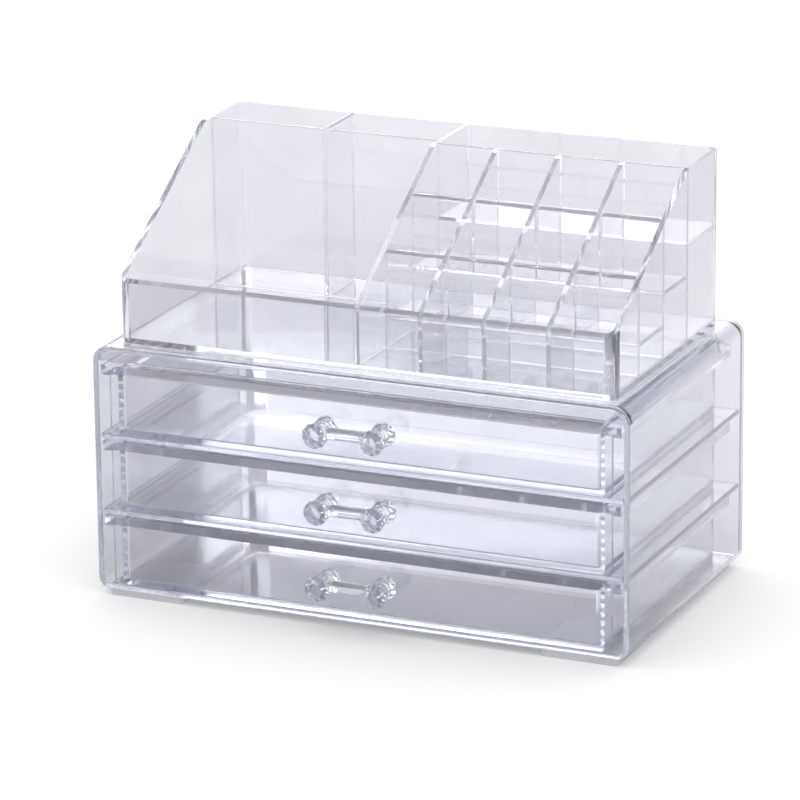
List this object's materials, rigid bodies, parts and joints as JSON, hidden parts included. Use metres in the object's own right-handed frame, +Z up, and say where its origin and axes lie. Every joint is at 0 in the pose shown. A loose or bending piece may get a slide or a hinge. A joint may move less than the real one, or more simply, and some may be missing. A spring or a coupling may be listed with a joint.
{
  "type": "makeup organizer",
  "caption": "Clear plastic makeup organizer: a low cabinet of pull-out drawers with crystal pulls, and a loose divided tray with stepped lipstick cells on top.",
  "frame": {"origin": "on the table, under the middle of the whole outline from the pulls' tips to the cabinet's back", "axes": "+X to the right seen from the front, +Y to the back, +Z up"},
  "size_m": [0.24, 0.1498, 0.1862],
  "materials": {
    "clear_cabinet": "clear polished moulding with a cool tint",
    "clear_drawer": "clear polished moulding with a cool tint",
    "clear_tray": "clear polished moulding with a cool tint",
    "clear_pull": "clear faceted crystal-like moulding"
  },
  "bodies": {
    "cabinet": {"cabinet_shell": "clear_cabinet", "back_panel": "clear_cabinet", "shelf_lower": "clear_cabinet", "shelf_upper": "clear_cabinet", "foot_front_left": "clear_cabinet", "foot_rear_left": "clear_cabinet", "foot_front_right": "clear_cabinet", "foot_rear_right": "clear_cabinet"},
    "drawer_top": {"drawer_top_tub": "clear_drawer", "drawer_top_pull_post_left": "clear_pull", "drawer_top_pull_post_right": "clear_pull", "drawer_top_pull_rod": "clear_pull"},
    "drawer_middle": {"drawer_middle_tub": "clear_drawer", "drawer_middle_pull_post_left": "clear_pull", "drawer_middle_pull_post_right": "clear_pull", "drawer_middle_pull_rod": "clear_pull"},
    "drawer_bottom": {"drawer_bottom_tub": "clear_drawer", "drawer_bottom_pull_post_left": "clear_pull", "drawer_bottom_pull_post_right": "clear_pull", "drawer_bottom_pull_rod": "clear_pull"},
    "tray": {"tray_shell": "clear_tray", "tray_section_divider": "clear_tray", "tray_brush_wall": "clear_tray", "tray_brush_divider": "clear_tray", "tray_column_divider_1": "clear_tray", "tray_column_divider_2": "clear_tray", "tray_column_divider_3": "clear_tray", "tray_row_wall_1": "clear_tray", "tray_row_wall_2": "clear_tray", "tray_row_wall_rear": "clear_tray", "tray_step_floor_2": "clear_tray", "tray_step_floor_3": "clear_tray", "tray_channel_floor": "clear_tray"}
  },
  "joints": [
    {"name": "drawer_top_slide", "type": "slide", "parent": "cabinet", "child": "drawer_top", "axis": [0, -1, 0], "range_m": [0, 0.1]},
    {"name": "drawer_middle_slide", "type": "slide", "parent": "cabinet", "child": "drawer_middle", "axis": [0, -1, 0], "range_m": [0, 0.1]},
    {"name": "drawer_bottom_slide", "type": "slide", "parent": "cabinet", "child": "drawer_bottom", "axis": [0, -1, 0], "range_m": [0, 0.1]},
    {"name": "tray_lift", "type": "slide", "parent": "cabinet", "child": "tray", "axis": [0, 0, 1], "range_m": [0, 0.06]}
  ]
}
